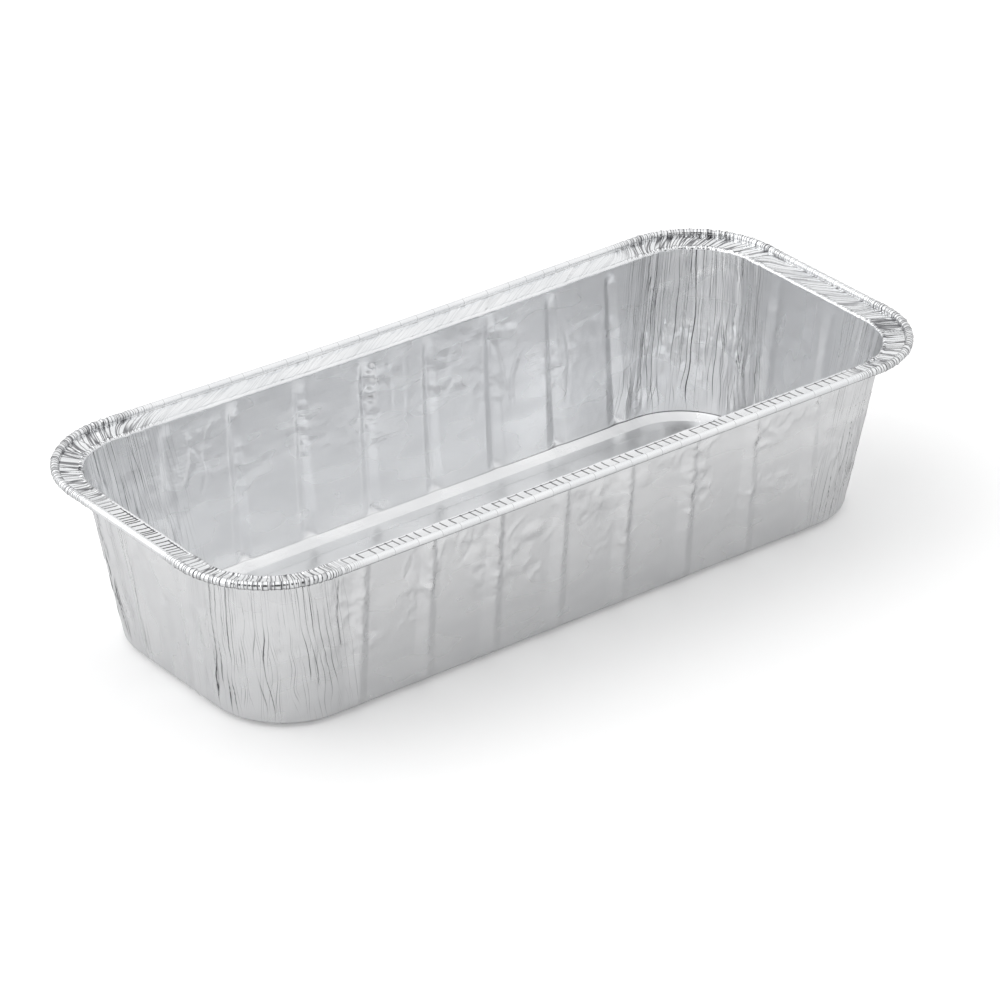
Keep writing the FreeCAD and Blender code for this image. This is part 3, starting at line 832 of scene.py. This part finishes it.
def rim_creases(nodes):
    """The same for the rim: the pads and twisted folds of the shelf and the creases across the bead, with
    painted shade along them, in the valley before the bead and under the bead.
    """
    sheet = stored(nodes, "sheet")
    near_corner, near_side, on_bead = stored(nodes, "masks").parts()
    left_end, gathered, _ = stored(nodes, "ends").parts()
    travelled, rung_place, _ = stored(nodes, "line_places").parts()
    across = sheet.parts()[2]
    on_shelf = across.ease(0.4, 1.6) * (1 - on_bead)
    ladder = near_side * (1 - near_corner)

    _, shade = shingles(nodes, rung_place / LADDER_PITCH)
    pad_ends = groove(rungs(nodes, rung_place, LADDER_PITCH) / (1 + left_end * 0.5), PAD_WIDTH)
    pad_top = groove((across - SHELF_RUN[0] - 0.1).size(), PAD_TOP_WIDTH) * shade.ease(0.3, 0.35)
    pads = (pad_ends * across.ease(*(SHELF_RUN[0] + PAD_START)) + pad_top * 0.8) * (1 + left_end * 0.5)
    pads = pads.at_most(1.0) * ladder

    rope = groove(facets(nodes, feature(sheet, *ROPE)), ROPE_WIDTH)
    rope = rope * (1 - near_side) * (1 - near_corner) * 0.12
    fan = groove(facets(nodes, feature(sheet, *FAN)), FAN_WIDTH) * (1 - ladder)
    fan = fan * (gathered * 0.85 + 0.04)
    lip = across.ease(0.2, 0.8) * (1 - across.ease(1.8, 2.4))
    lip = groove(rungs(nodes, travelled, LIP_PITCH), LIP_WIDTH) * gathered * lip * 0.6
    # painted shade along the valley between the shelf and the bead
    valley = groove((across - SHELF_RUN[1]).size(), VALLEY_WIDTH) * (left_end * 0.3 + 0.5)

    crowded = groove(rungs(nodes, travelled, BEAD_PITCH), CROWDED_WIDTH) * gathered
    rare = groove(rungs(nodes, travelled + BEAD_GAP_SHIFT, BEAD_GAP), RARE_WIDTH) * (1 - gathered) * 0.3
    _, tick_shade = shingles(nodes, travelled / TICK_PITCH)
    ticks = groove(rungs(nodes, travelled, TICK_PITCH), TICK_WIDTH) * tick_shade.ease(0.2, 0.7)
    ticks = ticks * gathered * (1 - near_side) * 0.6
    bead_lines = crowded + rare + ticks + fan * near_corner * 0.5

    lines = (pads + rope + fan) * on_shelf + lip + bead_lines * on_bead
    # painted shade: the crease lines, the valley and the bead's underside darken the colour
    dark = lines + valley + across.ease(*UNDER_BEAD)
    return lines * CREASE_HEIGHT, dark.at_most(1.0)


print("creases ready")

# %% The finishes


def blend_colours(nodes, share, low, high):
    """A colour that runs from low to high as the share goes from 0 to 1."""
    mix = nodes.nodes.new("ShaderNodeMix")
    mix.data_type = "RGBA"
    nodes.links.new(share.socket, mix.inputs[0])
    for socket, colour in ((mix.inputs[6], low), (mix.inputs[7], high)):
        if isinstance(colour, Field):
            nodes.links.new(colour.socket, socket)
        else:
            socket.default_value = colour + (1.0,)
    return Field(mix.outputs[2])


# painted shade: the colour that crease lines, folds and the bead's underside are darkened towards
PAINTED_CREASE_SHADE = (0.09, 0.09, 0.10)
LINE_HEIGHT, WRINKLE_HEIGHT = 0.022, 0.045


def new_foil(name, bright, dull, smooth, rough, creases=None):
    """A foil material. Its colour runs from dull to bright and its roughness from rough to smooth. Along
    given creases, painted shade takes the colour towards near black.
    """
    material = bpy.data.materials.new(name)
    material.use_nodes = True
    nodes = material.node_tree
    surface = nodes.nodes["Principled BSDF"]
    surface.inputs["Metallic"].default_value = 1.0
    placed = nodes.nodes.new("ShaderNodeGroup")
    placed.node_tree = FOIL_SKIN
    lines, wrinkles, scuffs = [Field(output) for output in placed.outputs]
    colour = blend_colours(nodes, scuffs, dull, bright)
    height = lines * LINE_HEIGHT + wrinkles * WRINKLE_HEIGHT
    if creases:
        crease_height, dark = creases(nodes)
        # painted shade: the base colour goes towards near black along the creases
        colour = blend_colours(nodes, dark, colour, PAINTED_CREASE_SHADE)
        height = height + crease_height
    roughness = rough - scuffs * (rough - smooth)
    bump = add_node(nodes, "ShaderNodeBump", {"Height": height, "Distance": MM, "Strength": 1.0})
    for socket, value in (("Base Color", colour), ("Roughness", roughness), ("Normal", bump)):
        nodes.links.new(value.socket, surface.inputs[socket])
    return material


FLOOR_BRIGHT, FLOOR_DULL = (0.885, 0.894, 0.903), (0.835, 0.844, 0.853)
WALL_BRIGHT, WALL_DULL = (0.897, 0.902, 0.910), (0.837, 0.842, 0.852)
RIM_BRIGHT, RIM_DULL = (0.916, 0.924, 0.934), (0.856, 0.868, 0.882)
FLOOR_FOIL = new_foil("foil_floor", FLOOR_BRIGHT, FLOOR_DULL, smooth=0.26, rough=0.34)
WALL_FOIL = new_foil("foil_walls", WALL_BRIGHT, WALL_DULL, 0.24, 0.32, wall_creases)
RIM_FOIL = new_foil("foil_rim", RIM_BRIGHT, RIM_DULL, 0.14, 0.22, rim_creases)
print("materials:", FLOOR_FOIL.name, WALL_FOIL.name, RIM_FOIL.name)

# %% [markdown]
# ## Press the four pieces
# The mesh is cut in four, so that each stays light enough to handle: the floor inside the standing ring's
# outer fold, the near and far halves of the walls, which part in the pleats of two corners, and the rim.
# All four go through the same press, so their edges meet exactly. Solidify then gives the sheet its gauge,
# towards the inside.

# %% Press
SHARP_ANGLE = math.radians(50)
DRAFT_VALUES = ("anchor", "facing", "level", "rise", "along", "across", "zone")


def press(name, rows, across, zones, columns, material):
    """A finished piece of the pan, as a plain mesh in metres."""
    draft = make_grid(name + "_draft", rows, across, zones, columns)
    modifier = draft.modifiers.new("press", "NODES")
    modifier.node_group = tree
    for item in tree.interface.items_tree:
        if item.name == "Material":
            modifier[item.identifier] = material
        elif item.in_out == "INPUT" and item.name in PRESS_SIZES:
            modifier[item.identifier] = PRESS_SIZES[item.name]
    gauge = draft.modifiers.new("gauge", "SOLIDIFY")
    gauge.thickness = FOIL
    gauge.offset = -1.0
    evaluated = draft.evaluated_get(bpy.context.evaluated_depsgraph_get())
    mesh = bpy.data.meshes.new_from_object(evaluated)
    mesh.name = name
    mesh.transform(Matrix.Scale(MM, 4))
    for spare in DRAFT_VALUES:
        if spare in mesh.attributes:
            mesh.attributes.remove(mesh.attributes[spare])
    mesh.polygons.foreach_set("use_smooth", [True] * len(mesh.polygons))
    mesh.set_sharp_from_angle(angle=SHARP_ANGLE)
    bpy.data.objects.remove(draft)
    piece = bpy.data.objects.new(name, mesh)
    bpy.context.scene.collection.objects.link(piece)
    mesh.calc_loop_triangles()
    print(name, "triangles:", len(mesh.loop_triangles))
    return piece


all_columns = np.arange(len(TRAVEL))
half = len(TRAVEL) // 2
far_left_column = np.argmax(FACINGS @ (-1, 1))
near_half = far_left_column + np.arange(half + 1)
far_half = (near_half + half) % len(TRAVEL)
print("the walls part at columns", near_half[0], "and", near_half[-1])

pieces = [
    press("pan_floor", FLOOR_ROWS, floor_across, floor_zones, all_columns, FLOOR_FOIL),
    press("pan_walls_near", WALL_ROWS, wall_across, wall_zones, near_half, WALL_FOIL),
    press("pan_walls_far", WALL_ROWS, wall_across, wall_zones, far_half, WALL_FOIL),
    press("pan_rim", RIM_ROWS, rim_run, rim_zones, all_columns, RIM_FOIL),
]
for piece in pieces:
    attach(piece, "root")
    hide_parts("pan")

# %% [markdown]
# ## The table, the light and the camera
# Foil shows its surroundings more than itself, so the surroundings are kept plain: a pale table, a pale
# room that is a little brighter overhead and on the left, and one large soft lamp above and behind the pan,
# to its left. The table and the room look white to the camera. Mirrored in the foil they look pale too,
# because metal with nothing to mirror goes black. One dark patch stands up at the near left, and the rim
# and the pleats mirror it in their darkest strokes.

# %% The table
TABLE_HALF = 3.0
TABLE_WHITE, TABLE_PALE = 0.95, 0.78
TABLE_GLOW, TABLE_GLOW_MIRRORED = 0.155, 0.01


def new_table():
    """A white table that keeps the pan's shadow."""
    mesh = bpy.data.meshes.new("table")
    corners = [(x * TABLE_HALF, y * TABLE_HALF, LOW.z) for x, y in ((-1, -1), (1, -1), (1, 1), (-1, 1))]
    mesh.from_pydata(corners, [], [(0, 1, 2, 3)])
    material = bpy.data.materials.new("table_white")
    material.use_nodes = True
    nodes = material.node_tree
    surface = nodes.nodes["Principled BSDF"]
    surface.inputs["Roughness"].default_value = 0.9
    surface.inputs["Specular IOR Level"].default_value = 0.0
    surface.inputs["Emission Color"].default_value = (1.0, 1.0, 1.0, 1.0)
    path = nodes.nodes.new("ShaderNodeLightPath")
    names = ("Is Camera Ray", "Is Glossy Ray", "Is Transmission Ray")
    camera, glossy, through = [Field(path.outputs[name]) for name in names]
    glow = camera * TABLE_GLOW + (glossy + through) * TABLE_GLOW_MIRRORED
    white = camera * (TABLE_WHITE - TABLE_PALE) + TABLE_PALE
    nodes.links.new(glow.socket, surface.inputs["Emission Strength"])
    nodes.links.new(white.socket, surface.inputs["Base Color"])
    mesh.materials.append(material)
    table = bpy.data.objects.new("table", mesh)
    bpy.context.scene.collection.objects.link(table)
    return table


new_table()
print("table glow:", TABLE_GLOW)

# %% The room
ROOM_LEVEL, OVERHEAD_LEVEL, DARK_LEVEL = 0.885, 1.02, 0.06
LEFT_GAIN = 0.48
DARK_SIDE, DARK_EDGE = (-0.541, -0.693, 0.477), (0.83, 0.94)


def light_room():
    """A pale room, brighter overhead and on the left, with one dark patch. It is white to the camera."""
    world = bpy.data.worlds.new("room")
    bpy.context.scene.world = world
    world.use_nodes = True
    nodes = world.node_tree
    path = nodes.nodes.new("ShaderNodeLightPath")
    seen = Field(path.outputs["Is Camera Ray"]).at_least(Field(path.outputs["Is Transmission Ray"]))
    way = add_node(nodes, "ShaderNodeTexCoord", {})
    towards_dark = vector_math("DOT_PRODUCT", way, DARK_SIDE, "Value")
    sideways, _, upwards = way.parts()
    level = upwards.ease(0.2, 0.9) * (OVERHEAD_LEVEL - ROOM_LEVEL) + ROOM_LEVEL
    level = level + (0.0 - sideways).ease(0.0, 0.9) * LEFT_GAIN
    level = level - towards_dark.ease(*DARK_EDGE) * (level - DARK_LEVEL)
    level = level + seen * (1 - level)
    background = nodes.nodes["Background"]
    background.inputs["Color"].default_value = (1.0, 1.0, 1.0, 1.0)
    nodes.links.new(level.socket, background.inputs["Strength"])


light_room()
print("room level:", ROOM_LEVEL)

# %% The lamp
WINDOW_PLACE, WINDOW_SIZE, WINDOW_POWER = (-0.55, 0.75, 1.2), 1.6, 4.0


def add_lamp(name, place, target, size, power):
    """A soft square lamp that points at a target."""
    lamp = bpy.data.lights.new(name, "AREA")
    lamp.shape = "SQUARE"
    lamp.size = size
    lamp.energy = power
    lamp_object = bpy.data.objects.new(name, lamp)
    lamp_object.location = place
    lamp_object.rotation_euler = (Vector(place) - Vector(target)).to_track_quat("Z", "Y").to_euler()
    lamp_object.visible_camera = False
    bpy.context.scene.collection.objects.link(lamp_object)


add_lamp("window", WINDOW_PLACE, (0.0, 0.0, 0.0), WINDOW_SIZE, WINDOW_POWER)
print("lamps:", [item.name for item in bpy.data.lights])

# %% The camera
AZIMUTH, ELEVATION = math.radians(-38.02), math.radians(28.47)
DISTANCE, AIM_SIDE, AIM_HEIGHT = 1.8555, 0.00278, 0.0279
LENS, SENSOR = 173.45, 36.0


def add_camera():
    """A long lens, level with the horizon, that looks at the pan from its near left corner."""
    camera = bpy.data.cameras.new("camera")
    camera.lens = LENS
    camera.sensor_width = SENSOR
    level = math.cos(ELEVATION)
    back = Vector((math.sin(AZIMUTH) * level, -math.cos(AZIMUTH) * level, math.sin(ELEVATION)))
    aim = Vector((math.cos(AZIMUTH), math.sin(AZIMUTH), 0.0)) * AIM_SIDE + Vector((0.0, 0.0, AIM_HEIGHT))
    holder = bpy.data.objects.new("camera", camera)
    holder.location = aim + back * DISTANCE
    holder.rotation_euler = back.to_track_quat("Z", "Y").to_euler()
    bpy.context.scene.collection.objects.link(holder)
    bpy.context.scene.camera = holder


add_camera()
bpy.context.scene.view_settings.view_transform = "Standard"
print("camera set")
